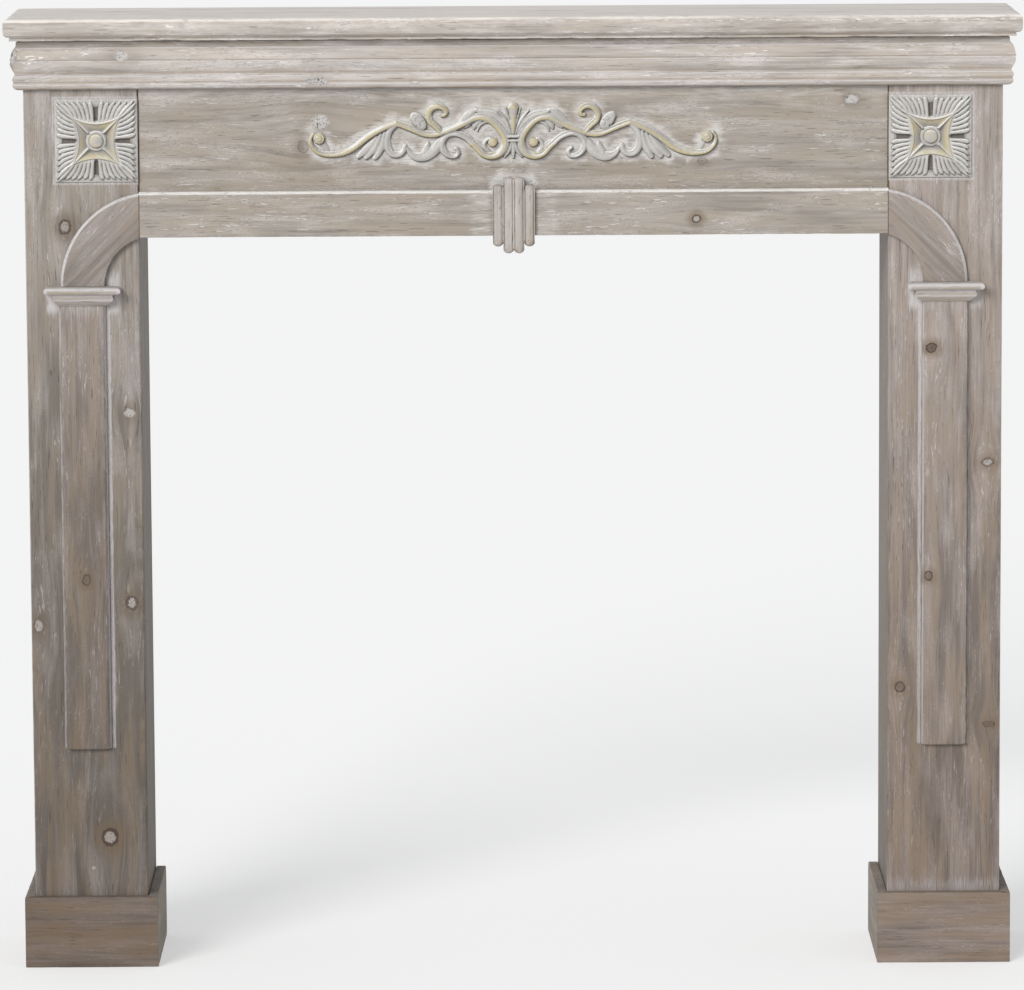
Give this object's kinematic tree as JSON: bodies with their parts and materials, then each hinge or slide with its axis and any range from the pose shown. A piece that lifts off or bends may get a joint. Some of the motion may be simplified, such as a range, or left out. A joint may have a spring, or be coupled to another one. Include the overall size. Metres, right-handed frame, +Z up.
{
  "type": "fireplace mantelpiece",
  "caption": "Limed fir fireplace surround with moulded shelf, stepped cornice, carved scroll frieze, rosettes and square legs on plinths.",
  "frame": {"origin": "middle of the footprint, on the floor", "axes": "+X to the right as seen from the front, -Y out of the front into the room, +Y to the wall, +Z up"},
  "size_m": [1.18, 0.205, 1.121],
  "materials": {
    "limed_fir": "limed and wiped, matt",
    "carved_wood": "white limewash with cream high points, matt"
  },
  "bodies": {
    "root": {"shelf_board": "limed_fir", "cornice_front": "limed_fir", "cornice_left": "limed_fir", "cornice_right": "limed_fir", "frieze_board": "limed_fir", "rail_board": "limed_fir", "keystone": "limed_fir", "scroll_ornament": "carved_wood", "leg_front_left": "limed_fir", "leg_front_right": "limed_fir", "leg_outer_left": "limed_fir", "leg_outer_right": "limed_fir", "leg_inner_left": "limed_fir", "leg_inner_right": "limed_fir", "plinth_front_left": "limed_fir", "plinth_front_right": "limed_fir", "plinth_outer_left": "limed_fir", "plinth_outer_right": "limed_fir", "plinth_inner_left": "limed_fir", "plinth_inner_right": "limed_fir", "rosette_left": "carved_wood", "rosette_right": "carved_wood", "arch_band_left": "limed_fir", "arch_band_right": "limed_fir", "capital_left": "limed_fir", "capital_right": "limed_fir", "strip_left": "limed_fir", "strip_right": "limed_fir"}
  },
  "joints": []
}
